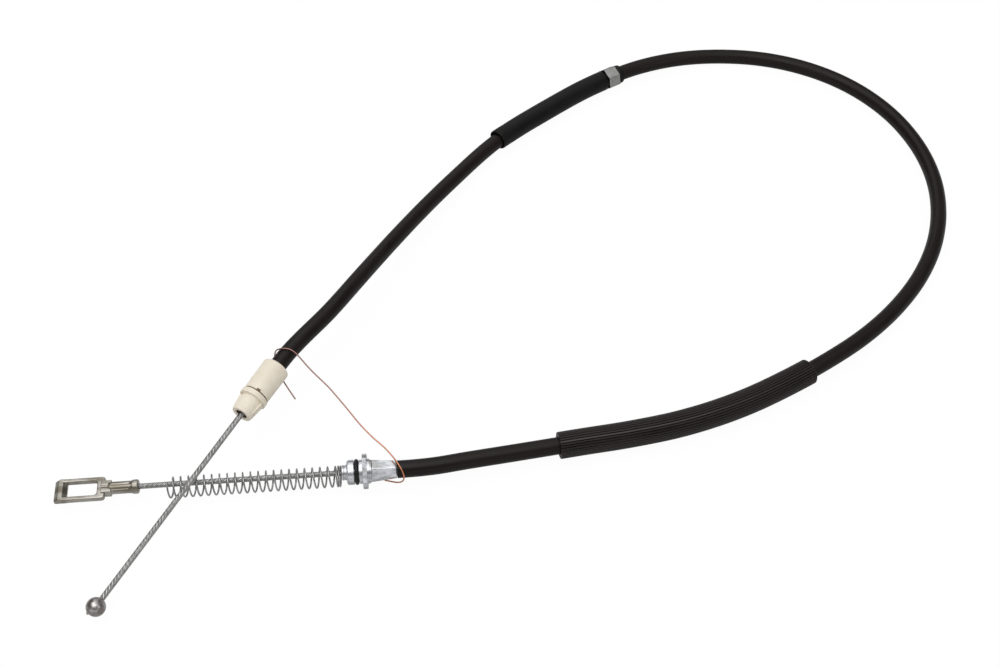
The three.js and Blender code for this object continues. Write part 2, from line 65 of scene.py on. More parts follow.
# Where the cable lies. Each end line has its X towards the casing. The leads are how far the
# casing runs straight on out of its two fittings.
layout = {
    "shift": (-2.2, 0.8, 0),
    "eyeLine": {"start": (-130.4, -168.5, 11.85), "turn": 4.6, "rise": 0},
    "ballLine": {"start": (-200.6, -129.5, 25.2), "turn": 60.5, "rise": 6},
    "sheathStart": 37.0,
    "sheathEnd": 33.8,
    "casingRadius": 6.0,
    "casingStep": 3.0,
    "wireStep": 0.9,
    "eyeLead": 8.0,
    "ballLead": 17.7,
}
casingRoute = [
    (-70, -162.5, 5.2), (-46, -157.3, 4.7), (-20, -151.8, 4.1), (6, -146.3, 3.6), (31, -141.2, 3.5),
    (64, -134.8, 3.5), (101, -125.4, 3.5), (143, -108.9, 3.5), (181, -88, 3.5), (211, -68.2, 3.1),
    (239, -46, 1.7), (269, -15.4, 0.4), (291.5, 15.5, 0.1), (307.2, 47, 0.1), (316.5, 79, 0.1),
    (319.9, 114, 0.1), (313.2, 159, 0.1), (294.8, 199.8, 0.1), (264.5, 234, 0.1), (231.5, 254.4, 0.1),
    (198, 265.1, 0.1), (164, 268.2, 0.2), (129.4, 264.3, 1), (94.5, 252, 2.5), (51.6, 226.6, 3.1),
    (14, 197.4, 2.6), (-23.2, 164, 2.5), (-63.4, 111.1, 4.1), (-85.2, 75.7, 7.9), (-106, 37.2, 13.6),
    (-125.8, -2, 19.8), (-145.2, -39.4, 24.5),
]
wireRoute = [
    (-167.2, -105.6, 11), (-170.5, -101.6, 13.5), (-174.2, -97, 16.4), (-177.4, -92.2, 18.2),
    (-180.2, -86.6, 20.2), (-182.2, -81.8, 24.4), (-182, -79.8, 28.8), (-181, -79.8, 32.4),
    (-178.9, -81.2, 36), (-175.1, -81.8, 37.8), (-171.2, -82.4, 38), (-167.1, -84.8, 37.7),
    (-163.2, -89, 37.2), (-159.5, -93.4, 36.4), (-154.7, -98.4, 34.6), (-148.8, -104, 32.8),
    (-142.6, -109.8, 31), (-136, -117.2, 29), (-129.5, -124.9, 27.2), (-118.3, -138.7, 24.4),
    (-109.4, -147.8, 22.4), (-102.7, -153.6, 21), (-96.6, -160.4, 19.7), (-92.2, -167, 19.4),
    (-89.7, -170.8, 17.6), (-88.6, -172.8, 14.4), (-89.1, -173.3, 10.6), (-91.2, -172.5, 6.9),
    (-94.6, -170.8, 4.2), (-98.8, -169, 2.8), (-102.4, -167.8, 2.3),
]


def lineOf(name):
    line = layout[name]
    start = Matrix.Translation(Vector(layout["shift"]) + Vector(line["start"]))
    turn = Matrix.Rotation(math.radians(line["turn"]), 4, "Z")
    return start @ turn @ Matrix.Rotation(-math.radians(line["rise"]), 4, "Y")


eyeLine = lineOf("eyeLine")
ballLine = lineOf("ballLine")
unmoved = Matrix.Identity(4)


# One smooth line through the points, with its points an even step apart
def smoothPoints(points, step):
    gaps = [(b - a).length for a, b in zip(points, points[1:])]
    steps = [(b - a) / gap for a, b, gap in zip(points, points[1:], gaps)]
    slopes = [steps[0]]
    for i in range(1, len(gaps)):
        slopes.append((steps[i - 1] * gaps[i] + steps[i] * gaps[i - 1]) / (gaps[i - 1] + gaps[i]))
    slopes.append(steps[-1])
    fine = []
    for i, gap in enumerate(gaps):
        a, b = points[i], points[i + 1]
        fine += interpolate_bezier(a, a + slopes[i] * gap / 3, b - slopes[i + 1] * gap / 3, b, 32)[:-1]
    fine.append(points[-1])
    whole = Path(fine)
    count = max(2, round(whole.length / step))
    return [whole.at(whole.length * i / count).translation for i in range(count + 1)]


# A line through space with a frame at each point: X along it, Y and Z across it. With an up
# direction Z keeps to it, and without one the frame is carried along with no twist.
class Path:
    def __init__(self, points, up=None):
        self.points = [Vector(point) for point in points]
        self.reached = [0.0]
        for a, b in zip(self.points, self.points[1:]):
            self.reached.append(self.reached[-1] + (b - a).length)
        self.length = self.reached[-1]
        self.turns = []
        side = None
        for i in range(len(self.points)):
            along = (self.points[min(i + 1, len(self.points) - 1)] - self.points[max(i - 1, 0)]).normalized()
            if up is not None:
                side = up.cross(along).normalized()
            elif side is None:
                side = along.orthogonal().normalized()
            else:
                side = (side - along * side.dot(along)).normalized()
            self.turns.append(Matrix((along, side, along.cross(side))).transposed().to_quaternion())

    def at(self, distance):
        i = min(max(bisect_right(self.reached, distance), 1), len(self.points) - 1)
        share = (distance - self.reached[i - 1]) / (self.reached[i] - self.reached[i - 1])
        point = self.points[i - 1].lerp(self.points[i], share)
        turn = self.turns[i - 1].slerp(self.turns[i], min(max(share, 0), 1))
        return Matrix.Translation(point) @ turn.to_matrix().to_4x4()


upward = Vector((0, 0, 1))
shift = Vector(layout["shift"])
casingPoints = [eyeLine @ Vector((layout["sheathStart"] + lead, 0, 0)) for lead in (0, layout["eyeLead"])]
casingPoints += [Vector((x, y, layout["casingRadius"] + lift)) + shift for x, y, lift in casingRoute]
casingPoints += [ballLine @ Vector((layout["sheathEnd"] + lead, 0, 0)) for lead in (layout["ballLead"], 0)]
casingPath = Path(smoothPoints(casingPoints, layout["casingStep"]), upward)
wirePath = Path(smoothPoints([Vector(point) + shift for point in wireRoute], layout["wireStep"]))


# Modelling, all in millimetres

def revolve(shape, corners, steps):
    verts = [shape.verts.new((x, 0, radius)) for x, radius in corners]
    edges = [shape.edges.new(pair) for pair in zip(verts, verts[1:])]
    if corners[0][1] > 0:
        edges.append(shape.edges.new((verts[-1], verts[0])))
    bmesh.ops.spin(shape, geom=verts + edges, cent=(0, 0, 0), axis=(1, 0, 0), angle=2 * math.pi,
                   steps=steps, use_merge=True)
    bmesh.ops.remove_doubles(shape, verts=shape.verts[:], dist=1e-4)
    bmesh.ops.recalc_face_normals(shape, faces=shape.faces[:])


def onlyVerts(items):
    return [item for item in items if isinstance(item, bmesh.types.BMVert)]


def onlyEdges(items):
    return [item for item in items if isinstance(item, bmesh.types.BMEdge)]


def turnAround(shape, verts, degrees):
    turn = Matrix.Rotation(math.radians(degrees), 3, "X")
    bmesh.ops.rotate(shape, cent=(0, 0, 0), verts=verts, matrix=turn)


# A block from an outline in one plane, pushed out of it
def pushOutline(shape, places, vector):
    face = shape.faces.new([shape.verts.new(place) for place in places])
    pushed = bmesh.ops.extrude_face_region(shape, geom=[face])["geom"]
    bmesh.ops.translate(shape, verts=onlyVerts(pushed), vec=vector)


def bevelEdges(shape, edges, offset, segments):
    bmesh.ops.bevel(shape, geom=edges, offset=offset, offset_type="OFFSET", segments=segments, profile=0.5,
                    affect="EDGES", clamp_overlap=True, material=-1)


def softenEdges(shape, offset, segments=2, over=30, among=None):
    sharp = [edge for edge in (among or shape.edges)
             if edge.is_manifold and edge.calc_face_angle(0) > math.radians(over)]
    bevelEdges(shape, sharp, offset, segments)


# Keeps for each corner where it lies around the piece and along it, for the materials
def markSection(shape):
    layer = shape.verts.layers.float_vector.new("section")
    for vert in shape.verts:
        around = Vector((vert.co.y, vert.co.z))
        around = around.normalized() if around.length > 1e-6 else Vector((1, 0))
        vert[layer] = (around.x, around.y, vert.co.x)


def bendAlong(shape, path, start=0.0):
    frames = {}
    for vert in shape.verts:
        key = round(start + vert.co.x, 4)
        if key not in frames:
            frames[key] = path.at(key)
        vert.co = frames[key] @ Vector((0, vert.co.y, vert.co.z))


def evenly(start, end, step):
    count = max(1, math.ceil(abs(end - start) / step))
    return [start + (end - start) * i / count for i in range(count + 1)]


# With a bore, each end of the tube is open for that depth
def tubeOn(path, radius, sides, rounding=0.1, bore=0.0, depth=0.0):
    shape = bmesh.new()
    opening = [(depth, 0), (depth, bore), (0, bore)] if bore else [(0, 0)]
    corners = [*opening, (0, radius - rounding), (rounding, radius)]
    corners += [(reached, radius) for reached in path.reached[1:-1]]
    corners += [(path.length - rounding, radius), (path.length, radius - rounding)]
    corners += [(path.length - x, away) for x, away in reversed(opening)]
    revolve(shape, corners, sides)
    markSection(shape)
    bendAlong(shape, path)
    return shape


def joinShapes(shape, other):
    mesh = bpy.data.meshes.new("joined")
    other.to_mesh(mesh)
    other.free()
    shape.from_mesh(mesh)
    bpy.data.meshes.remove(mesh)


def finishPiece(name, shape, place, looks, body, stands=(), weighted=True):
    shape.transform(Matrix.Scale(millimetre, 4) @ place)
    mesh = bpy.data.meshes.new(name)
    shape.to_mesh(mesh)
    shape.free()
    for look in looks if isinstance(looks, (list, tuple)) else [looks]:
        mesh.materials.append(look)
    mesh.shade_smooth()
    mesh.set_sharp_from_angle(angle=sharpAngle)
    piece = bpy.data.objects.new(name, mesh)
    bpy.context.scene.collection.objects.link(piece)
    if weighted:
        level = piece.modifiers.new("faceWeight", "WEIGHTED_NORMAL")
        level.keep_sharp = True
    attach(piece, body)
    if stands:
        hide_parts(*stands)
    print("cable:", name, len(mesh.polygons), "faces")
    return piece


# Materials. A signal is one output of a node, and an expression on signals adds Math nodes.

class Signal:
    def __init__(self, look, socket):
        self.look = look
        self.socket = socket

    def withMath(self, operation, *values):
        return self.look.node("Math", {"operation": operation}, dict(enumerate(values)))

    def __add__(self, other):
        return self.withMath("ADD", self, other)

    def __sub__(self, other):
        return self.withMath("SUBTRACT", self, other)

    def __rsub__(self, other):
        return self.withMath("SUBTRACT", other, self)

    def __mul__(self, other):
        return self.withMath("MULTIPLY", self, other)

    def wave(self):
        return self.withMath("SINE", self)


class Look:
    def __init__(self, name, **fixed):
        self.material = bpy.data.materials.new(name)
        self.material.use_nodes = True
        self.tree = self.material.node_tree
        self.shader = self.tree.nodes["Principled BSDF"]
        for socket, value in fixed.items():
            self.shader.inputs[self.words(socket)].default_value = value

    @staticmethod
    def words(name):
        return {"specularLevel": "Specular IOR Level"}.get(name, name.capitalize())

    def node(self, kind, settings=None, values=None, output=0):
        made = self.tree.nodes.new("ShaderNode" + kind)
        for name, value in (settings or {}).items():
            setattr(made, name, value)
        for key, value in (values or {}).items():
            self.feed(made.inputs[key], value)
        return Signal(self, made.outputs[output])

    def feed(self, socket, value):
        if isinstance(value, Signal):
            self.tree.links.new(value.socket, socket)
        else:
            socket.default_value = value

    def set(self, name, value):
        self.feed(self.shader.inputs[name], value)

    def place(self):
        return self.node("TexCoord", output="Object")

    def section(self):
        settings = {"attribute_type": "GEOMETRY", "attribute_name": "section"}
        return self.node("Attribute", settings, output="Vector")

    def stretched(self, vector, factors):
        return self.node("VectorMath", {"operation": "MULTIPLY"}, {0: vector, 1: factors})

    def noise(self, vector, scale, detail=3.0, roughness=0.55):
        values = {"Vector": vector, "Scale": scale, "Detail": detail, "Roughness": roughness}
        return self.node("TexNoise", None, values)

    def between(self, signal, low, high, start=0.0, end=1.0):
        values = {"Value": signal, "From Min": low, "From Max": high, "To Min": start, "To Max": end}
        return self.node("MapRange", {"interpolation_type": "SMOOTHSTEP"}, values)

    def blend(self, factor, first, second):
        colours = {0: factor, 6: first if isinstance(first, Signal) else (*first, 1),
                   7: second if isinstance(second, Signal) else (*second, 1)}
        return self.node("Mix", {"data_type": "RGBA"}, colours, 2)

    def axes(self, vector):
        return [self.node("SeparateXYZ", None, {0: vector}, axis) for axis in range(3)]

    def bump(self, height, strength, distance):
        values = {"Height": height, "Strength": strength, "Distance": distance * millimetre}
        self.set("Normal", self.node("Bump", None, values))


# Black plastic or rubber on the casing: faint drawn lines along it, dust and a few scuffs, and where asked a
# painted highlight along one rib
def blackCover(name, dark, light, lines, roughness, specular, paintedHighlightSide=None):
    look = Look(name, specularLevel=specular)
    across = look.stretched(look.section(), (5.0, 5.0, 0.018))
    drawn = look.noise(across, 1.6, 2.0)
    patches = look.noise(look.place(), 42.0, 4.0)
    speck = look.between(look.noise(look.place(), 1300.0, 2.0), 0.66, 0.78)
    worn = look.between(patches, 0.35, 0.7)
    tone = look.blend(look.between(drawn * 0.6 + patches * 0.4, 0.3, 0.7), dark, light)
    if paintedHighlightSide:  # one rib, with a painted highlight along its crest that fades along the guard
        y, z, along = look.axes(look.section())
        paintedRibHighlight = look.between(y * paintedHighlightSide[0] + z * paintedHighlightSide[1], 0.9965, 0.9995)
        tone = look.blend(paintedRibHighlight * look.between(along, 40.0, 190.0, 1.0, 0.15), tone, (0.05, 0.045, 0.044))
    look.set("Base Color", look.blend(speck * 0.25, tone, tuple(3.2 * value for value in light)))
    look.set("Roughness", worn * 0.14 + drawn * 0.1 + (roughness - 0.12))
    look.bump(drawn * lines + look.noise(look.place(), 700.0, 3.0) * 0.35, 0.35, 0.12)
    return look.material


# Bare metal with a plated or cast skin: patches of tint, fine grain and handling marks
def plainMetal(name, base, tint, grain, roughness, patchSize, bump=0.3, depth=0.05, stretch=1.0):
    look = Look(name, metallic=1.0)
    place = look.stretched(look.place(), (stretch, 1.0, 1.0))
    patches = look.noise(place, 1000.0 / patchSize, 4.0, 0.6)
    fine = look.noise(place, grain, 3.0, 0.6)
    tone = look.blend(look.between(patches, 0.36, 0.66), base, tint)
    dark = tuple(value * 0.6 for value in base)
    look.set("Base Color", look.blend(look.between(fine, 0.56, 0.8, 0.0, 0.55), tone, dark))
    look.set("Roughness", fine * 0.18 + patches * 0.16 + (roughness - 0.15))
    look.bump(fine, bump, depth)
    return look.material


# Strands of the rope: fine wires twisted within each strand, with painted shade in the grooves between
# strands and between the fine wires
def ropeMetal(name, base, groove):
    look = Look(name, metallic=1.0)
    y, z, along = look.axes(look.section())
    angle = look.node("Math", {"operation": "ARCTAN2"}, {0: z, 1: y})
    wires = (angle * 6.0 - along * 1.6).wave() * 0.5 + 0.5
    outward = look.between(y, 0.15, 0.9)
    patches = look.noise(look.place(), 260.0, 3.0)
    tone = look.blend(look.between(patches, 0.35, 0.7), base, tuple(value * 0.72 for value in base))
    # painted shade: the groove colour covers strand sides facing into the rope and the troughs between fine
    # wires
    lit = look.between(wires, 0.0, 0.6, 0.55, 1.0) * outward
    look.set("Base Color", look.blend(lit, groove, tone))
    look.set("Roughness", patches * 0.2 + 0.24)
    look.bump(wires, 0.6, 0.12)
    return look.material


def creamPlastic(name, base, shade, stain):
    look = Look(name, specularLevel=0.4)
    place = look.place()
    cloudy = look.noise(place, 95.0, 4.0)
    flow = look.noise(look.stretched(place, (1.0, 1.0, 0.35)), 420.0, 3.0)
    grime = look.between(look.noise(place, 210.0, 5.0, 0.65), 0.56, 0.78)
    tone = look.blend(look.between(cloudy, 0.3, 0.7), base, shade)
    look.set("Base Color", look.blend(grime * 0.35, tone, stain))
    look.set("Roughness", cloudy * 0.16 + 0.36)
    look.bump(flow + look.noise(place, 1700.0, 2.0) * 0.4, 0.25, 0.06)
    return look.material


# Copper wire: drawn lines, patches, and a painted highlight as brighter copper along the wire's end by the
# fitting
def copperMetal(name, paintedHighlightCopper, dull):
    look = Look(name, metallic=1.0)
    place = look.place()
    patches = look.noise(place, 150.0, 3.0)
    drawn = look.noise(look.stretched(look.section(), (2.0, 2.0, 0.08)), 2.0, 2.0)
    along = look.axes(look.section())[2]
    # painted highlight: the colour goes from dull to bright copper along the wire towards its end at the
    # fitting
    clearOfPaintedHighlight = look.between(along + patches * 40.0, 95.0, 185.0, 1.0, 0.0)
    look.set("Base Color", look.blend(clearOfPaintedHighlight, paintedHighlightCopper, dull))
    look.set("Roughness", drawn * 0.2 + 0.2)
    look.bump(drawn, 0.3, 0.03)
    return look.material


looks = {
    "sheath": blackCover("sheathPlastic", (0.0045, 0.0024, 0.0022), (0.0105, 0.0064, 0.006), lines=0.8,
                         roughness=0.38, specular=0.18),
    # the guard's lighter line along one rib is a painted highlight
    "guard": blackCover("guardRubber", (0.0085, 0.0055, 0.0053), (0.018, 0.0125, 0.012), lines=0.4,
                        roughness=0.40, specular=0.26, paintedHighlightSide=(-0.3827, 0.9239)),
    "sleeve": blackCover("sleeveRubber", (0.0028, 0.0026, 0.0025), (0.0068, 0.0064, 0.006), lines=0.3,
                         roughness=0.42, specular=0.15),
    "ring": blackCover("ringRubber", (0.003, 0.003, 0.0035), (0.008, 0.008, 0.009), lines=0.2,
                       roughness=0.35, specular=0.3),
    # the second colour of each rope is painted shade for its grooves
    "rope": ropeMetal("ropeSteel", (0.56, 0.555, 0.545), (0.06, 0.059, 0.056)),
    "ropeEye": ropeMetal("ropeSteelDull", (0.50, 0.50, 0.495), (0.14, 0.138, 0.13)),
    "spring": plainMetal("springSteel", (0.42, 0.42, 0.42), (0.24, 0.24, 0.235), grain=2600.0,
                         roughness=0.24, patchSize=9.0),
    "eye": plainMetal("eyeSteel", (0.43, 0.41, 0.375), (0.19, 0.17, 0.135), grain=1500.0,
                      roughness=0.24, patchSize=6.0, bump=0.35, depth=0.08, stretch=0.2),
    "fitting": plainMetal("fittingZinc", (0.68, 0.70, 0.745), (0.36, 0.365, 0.36), grain=1300.0,
                          roughness=0.22, patchSize=4.0, bump=0.45, depth=0.08, stretch=0.35),
    "ball": plainMetal("ballZinc", (0.43, 0.415, 0.405), (0.2, 0.175, 0.16), grain=1900.0,
                       roughness=0.26, patchSize=4.0, bump=0.35, depth=0.06),
    "band": plainMetal("bandSteel", (0.36, 0.36, 0.35), (0.28, 0.28, 0.27), grain=2200.0,
                       roughness=0.42, patchSize=8.0),
    "armour": plainMetal("armourSteel", (0.40, 0.41, 0.42), (0.33, 0.33, 0.33), grain=2000.0,
                         roughness=0.4, patchSize=6.0),
    "bush": creamPlastic("bushPlastic", (0.86, 0.79, 0.665), (0.79, 0.715, 0.585), (0.52, 0.43, 0.32)),
    # painted shade for the bush's bore, the groove behind its ring and its slot
    "bore": creamPlastic("recessPaintedShade", (0.21, 0.14, 0.10), (0.12, 0.08, 0.06), (0.05, 0.035, 0.03)),
    "liner": creamPlastic("linerPlastic", (0.62, 0.57, 0.45), (0.55, 0.50, 0.38), (0.35, 0.3, 0.22)),
    # the first colour is a painted highlight near the fitting
    "wire": copperMetal("wireCopper", (0.60, 0.25, 0.14), (0.30, 0.165, 0.145)),
}

# Pieces of the frame that stay as they are and get a finish
keptNodes = {"conduit_armour": "armour", "conduit_liner": "liner", "inner_rope_middle": "armour"}
for node, look in keptNodes.items():
    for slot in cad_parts[node].material_slots:
        slot.material = looks[look]
print("cable: materials made")


# Casing, the longest cord. Lengths of cords are in metres, as the other measures of a cord.
casingTube = {"sides": 40, "rounding": 0.1, "endBore": 3.2, "endDepth": 14.0, "cordLength": 1.319,
              "cordDiameter": 0.012}


def makeCasing():
    shape = tubeOn(casingPath, layout["casingRadius"], casingTube["sides"], casingTube["rounding"],
                   casingTube["endBore"], casingTube["endDepth"])
    return finishPiece("casing", shape, unmoved, looks["sheath"], "casing",
                       ["casing_sheath"], weighted=False)


casing = makeCasing()

# Wire rope: strands laid round a core. Start and end are places on the end line.
rope = {"radius": 1.9, "strands": 8, "strandRadius": 0.52, "swell": 1.02, "coreShare": 1.7, "lay": -12.8,
        "step": 0.7, "sides": 12, "eyeSide": (-147, 23), "ballSide": (-166.3, 18), "cordStep": 5,
        "eyeCordLength": 0.170, "ballCordLength": 0.1858, "cordDiameter": 0.0038}


def makeRope(name, line, look, reach, body, stands):
    start, end = reach
    strandRadius = rope["strandRadius"]
    offset = rope["radius"] - strandRadius
    points = []
    for x in evenly(start, end, rope["step"]):
        angle = 2 * math.pi * x / rope["lay"]
        points.append((x, offset * math.cos(angle), offset * math.sin(angle)))
    path = Path(points)
    for i, point in enumerate(points):
        along = path.turns[i] @ Vector((1, 0, 0))
        out = Vector((0, point[1], point[2])).normalized()
        path.turns[i] = Matrix((along, out, along.cross(out).normalized())).transposed().to_quaternion()
    shape = tubeOn(path, strandRadius * rope["swell"], rope["sides"], 0.15)
    strand = shape.verts[:] + shape.edges[:] + shape.faces[:]
    for i in range(1, rope["strands"]):
        copied = bmesh.ops.duplicate(shape, geom=strand)["geom"]
        turnAround(shape, onlyVerts(copied), 360 * i / rope["strands"])
    core = bmesh.new()
    coreRadius = rope["radius"] - rope["coreShare"] * strandRadius
    revolve(core, [(start, 0), (start, coreRadius), (end, coreRadius), (end, 0)], rope["sides"])
    markSection(core)
    joinShapes(shape, core)
    return finishPiece(name, shape, line, look, body, stands, weighted=False)


ropeEyeSide = makeRope("ropeEyeSide", eyeLine, looks["ropeEye"], rope["eyeSide"], "eye_end",
                       ["inner_rope_eye_side"])
ropeBallSide = makeRope("ropeBallSide", ballLine, looks["rope"], rope["ballSide"], "ball_side",
                        ["inner_rope_ball_side"])

# Copper wire that ties the two ends together
wire = {"radius": 0.5, "sides": 14, "rounding": 0.12, "cordLength": 0.204, "cordDiameter": 0.001}


def makeTieWire():
    shape = tubeOn(wirePath, wire["radius"], wire["sides"], wire["rounding"])
    return finishPiece("tieWire", shape, unmoved, looks["wire"], "casing", ["tie_wire"],
                       weighted=False)


tieWire = makeTieWire()

# Flat eye with its lug, crimped shank and collar. Places are on the eye's line.
eye = {
    "collarEnd": -135.0, "collarLength": 5.2, "collarRadius": 4.8,
    "shankLength": 12.6, "shankRadius": 4.2, "flutes": 8, "fluteDepth": 0.42,
    "lugLength": 4.4, "lugWidth": 9.4, "lugHeight": 6.4, "lugGroove": 1.2,
    "nearBar": 5.2, "farBar": 8.3, "sideBar": 2.75, "windowLength": 19.9, "windowWidth": 11.5,
    "thickness": 4.2, "corner": 2.2, "edge": 0.7, "farCorner": 1.3,
    "outerChamfer": 2.6, "innerChamfer": 2.9, "chamferDrop": 2.0,
}


def eyeFrame():
    shape = bmesh.new()
    nearEnd = eye["collarEnd"] - eye["collarLength"] - eye["shankLength"] - eye["lugLength"]
    windowRight = nearEnd - eye["nearBar"]
    windowLeft = windowRight - eye["windowLength"]
    farEnd = windowLeft - eye["farBar"]
    halfWidth = eye["windowWidth"] / 2 + eye["sideBar"]
    half = eye["thickness"] / 2
    bmesh.ops.create_grid(shape, x_segments=1, y_segments=1, size=1)
    for vert in shape.verts:
        vert.co = (nearEnd if vert.co.x > 0 else farEnd, math.copysign(halfWidth, vert.co.y), half)
    inner = next(iter(shape.faces))
    bmesh.ops.inset_individual(shape, faces=[inner], thickness=eye["sideBar"], use_even_offset=True)
    for vert in inner.verts:
        vert.co.x = windowRight if vert.co.x > (farEnd + nearEnd) / 2 else windowLeft
    bmesh.ops.delete(shape, geom=[inner], context="FACES_ONLY")
    made = bmesh.ops.extrude_face_region(shape, geom=shape.faces[:])["geom"]
    bmesh.ops.translate(shape, verts=onlyVerts(made), vec=(0, 0, -2 * half))
    bmesh.ops.recalc_face_normals(shape, faces=shape.faces[:])
    upright = [edge for edge in shape.edges if abs(edge.verts[0].co.z - edge.verts[1].co.z) > half]
    bevelEdges(shape, upright, eye["corner"], 5)
    everything = shape.verts[:] + shape.edges[:] + shape.faces[:]
    legs = bmesh.ops.bisect_plane(shape, geom=everything, plane_co=(windowLeft + eye["corner"] + 0.1, 0, 0),
                                  plane_no=(-1, 0, 0), clear_outer=True)["geom_cut"]
    bmesh.ops.holes_fill(shape, edges=onlyEdges(legs), sides=0)
    for vert in onlyVerts(legs):
        vert.co.x = windowLeft - eye["innerChamfer"]
    softenEdges(shape, eye["edge"], 3, 60, [edge for edge in shape.edges
                                            if max(vert.co.x for vert in edge.verts) > windowLeft])
    joinShapes(shape, eyeFarBar(farEnd, windowLeft, halfWidth, half))
    return shape, nearEnd


# The far bar of the eye has a wide chamfer on each side of a narrow flat
def eyeFarBar(farEnd, windowLeft, halfWidth, half):
    shape = bmesh.new()
    drop, outer, inner = eye["chamferDrop"], eye["outerChamfer"], eye["innerChamfer"]
    outline = [(farEnd, -half), (windowLeft, -half), (windowLeft, half - drop), (windowLeft - inner, half),
               (farEnd + outer, half), (farEnd, half - drop)]
    pushOutline(shape, [(x, -halfWidth, z) for x, z in outline], (0, 2 * halfWidth, 0))
    bmesh.ops.recalc_face_normals(shape, faces=shape.faces[:])

    def atCorner(edge):
        first, second = edge.verts
        return abs(first.co.y - second.co.y) < 0.1 and max(first.co.x, second.co.x) < farEnd + outer + 0.1

    bevelEdges(shape, [edge for edge in shape.edges if atCorner(edge)], eye["farCorner"], 4)
    softenEdges(shape, 0.3, 2, 28)
    return shape


def eyeLug(nearEnd):
    shape = bmesh.new()
    width, height, groove = eye["lugWidth"] / 2, eye["lugHeight"] / 2, eye["lugGroove"]
    bottom = groove * 0.8 - height
    outline = [(-width, -height), (-groove, -height), (0, bottom), (groove, -height), (width, -height),
               (width, height), (groove, height), (0, -bottom), (-groove, height), (-width, height)]
    start = nearEnd - eye["nearBar"] / 2
    pushOutline(shape, [(start, y, z) for y, z in outline], (eye["nearBar"] / 2 + eye["lugLength"], 0, 0))
    bmesh.ops.recalc_face_normals(shape, faces=shape.faces[:])
    softenEdges(shape, 0.45, 3, 25)
    return shape


def eyeShank():
    shape = bmesh.new()
    collarEnd = eye["collarEnd"]
    shankEnd = collarEnd - eye["collarLength"]
    lugEnd = shankEnd - eye["shankLength"]
    radius, collar = eye["shankRadius"], eye["collarRadius"]
    corners = [(lugEnd - 2, 0), (lugEnd - 2, radius - 0.4)]
    corners += [(x, radius) for x in evenly(lugEnd - 0.8, shankEnd - 0.6, 0.8)]
    corners += [(shankEnd + 0.3, radius + 0.1), (shankEnd + 1.2, collar - 0.2), (shankEnd + 1.9, collar),
                (collarEnd - 0.9, collar), (collarEnd - 0.35, collar - 0.2), (collarEnd, collar - 0.7),
                (collarEnd, 2.35), (collarEnd - 0.4, 2.1), (collarEnd - 4, 2.1), (collarEnd - 4, 0)]
    revolve(shape, corners, 72)
    for vert in shape.verts:
        x, away = vert.co.x, math.hypot(vert.co.y, vert.co.z)
        if away < 3 or x > shankEnd + 0.2:
            continue
        fade = min(1, max(0, (x - lugEnd + 0.6) / 1.2)) * min(1, max(0, (shankEnd - x) / 1.4))
        pressed = max(0, math.cos(eye["flutes"] * math.atan2(vert.co.z, vert.co.y))) ** 1.5
        scale = 1 - eye["fluteDepth"] * fade * pressed / away
        vert.co.y *= scale
        vert.co.z *= scale
    return shape


def makeEye():
    shape, nearEnd = eyeFrame()
    joinShapes(shape, eyeLug(nearEnd))
    joinShapes(shape, eyeShank())
    return finishPiece("leverEye", shape, eyeLine, looks["eye"], "eye_end", ["lever_eye"])


leverEye = makeEye()

# Return spring: two closed turns by the fitting, open turns and a last turn that is less open,
# hung with its top on the rope
spring = {"length": 116.5, "wire": 0.6, "radius": 6.8, "closedTurns": 2, "closedPitch": 1.45, "openTurns": 21,
          "lastPitch": 4.0, "gap": 0.3, "hang": 3.8, "stepsPerTurn": 28, "sides": 12, "rounding": 0.15}


def makeSpring():
    closed, opens = spring["closedTurns"], spring["openTurns"]
    openLength = spring["length"] - 2 * spring["wire"] - closed * spring["closedPitch"] - spring["lastPitch"]
    points = []
    for i in range((closed + opens + 1) * spring["stepsPerTurn"] + 1):
        turn = i / spring["stepsPerTurn"]
        along = min(turn, closed) * spring["closedPitch"]
        along += min(max(turn - closed, 0), opens) * openLength / opens
        along += max(turn - closed - opens, 0) * spring["lastPitch"]
        x = -spring["gap"] - spring["wire"] - along
        angle = 2 * math.pi * turn
        y, z = spring["radius"] * math.sin(angle), spring["radius"] * math.cos(angle)
        points.append((x, y, z - spring["hang"]))
    shape = tubeOn(Path(points), spring["wire"], spring["sides"], spring["rounding"])
    return finishPiece("returnSpring", shape, eyeLine, looks["spring"], "casing",
                       ["return_spring"], weighted=False)


makeSpring()

# Flanged metal fitting, along its axis from the face that the spring pushes on
fitting = {
    "spigotEnd": 3.3, "spigotRadius": 5.2, "collarRadius": 8.4, "grooveStart": 8.0, "grooveEnd": 11.7,
    "grooveRadius": 6.0, "flangeStart": 13.9, "flangeEnd": 17.0, "flangeRadius": 11.85, "flangeFlat": 8.5,
    "flangeTurn": 35.0, "rearEnd": 18.6, "shoulderEnd": 20.1, "crimpEnd": 36.7, "crimpFront": 7.8,
    "crimpRear": 6.3, "crimpTurn": 25.0,
}


def fittingBody():
    shape = bmesh.new()
    collar, spigot = fitting["collarRadius"], fitting["spigotRadius"]
    revolve(shape, [
        (3, 0), (3, 2.6), (0, 2.6), (0, 3.4), (0, spigot - 0.2), (1.1, spigot),
        (1.3, spigot - 0.35), (2.1, spigot - 0.35), (2.3, spigot), (fitting["spigotEnd"], spigot),
        (fitting["spigotEnd"], collar - 0.9), (fitting["spigotEnd"] + 0.9, collar),
        (fitting["grooveStart"], collar), (fitting["grooveStart"], fitting["grooveRadius"]),
        (fitting["grooveEnd"], fitting["grooveRadius"]), (fitting["grooveEnd"], collar - 0.3),
        (fitting["flangeStart"] + 0.5, collar - 0.3), (fitting["flangeStart"] + 0.5, collar),
        (fitting["rearEnd"], collar), (fitting["rearEnd"], fitting["crimpFront"] - 0.1),
        (fitting["shoulderEnd"] - 0.5, fitting["crimpFront"] - 0.1), (fitting["shoulderEnd"] + 0.6, 6.7),
        (fitting["shoulderEnd"] + 3, 6.2), (fitting["shoulderEnd"] + 3, 0),
    ], 72)
    softenEdges(shape, 0.22, 3, 28)
    return shape


